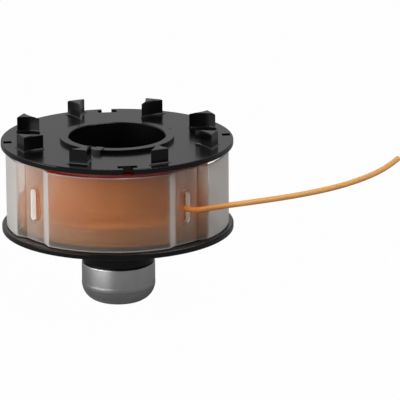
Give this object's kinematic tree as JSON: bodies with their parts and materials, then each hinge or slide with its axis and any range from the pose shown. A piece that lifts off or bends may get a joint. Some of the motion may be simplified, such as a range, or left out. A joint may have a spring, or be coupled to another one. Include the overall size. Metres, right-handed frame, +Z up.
{
  "type": "trimmer line cassette",
  "caption": "Flanged cassette wound with cutting line, with a turning guard ring that lets the line out, driving dogs on top and a metal bump cap below.",
  "frame": {"origin": "centre of the bump cap's flat bottom, on the spool's axis", "axes": "+Z up along the spool's axis, from the bump cap to the driving dogs; the rim's two T notches lie on -Y and +Y, and the free line leaves towards +X"},
  "size_m": [0.1459, 0.082, 0.0644],
  "materials": {
    "black_moulding": "glossy moulded black nylon",
    "line": "satin extruded orange nylon",
    "clear_moulding": "thin smoky clear moulding, smooth",
    "cap_steel": "satin drawn steel"
  },
  "bodies": {
    "spool": {"spool_body": "black_moulding", "top_disc": "black_moulding", "wound_line": "line", "bump_cap": "cap_steel"},
    "guard": {"guard_ring": "clear_moulding", "line_end": "line"}
  },
  "joints": [
    {"name": "ring_turn", "type": "hinge", "parent": "spool", "child": "guard", "pos_m": [0, 0, 0.0421], "axis": [0, 0, 1], "continuous": true}
  ]
}
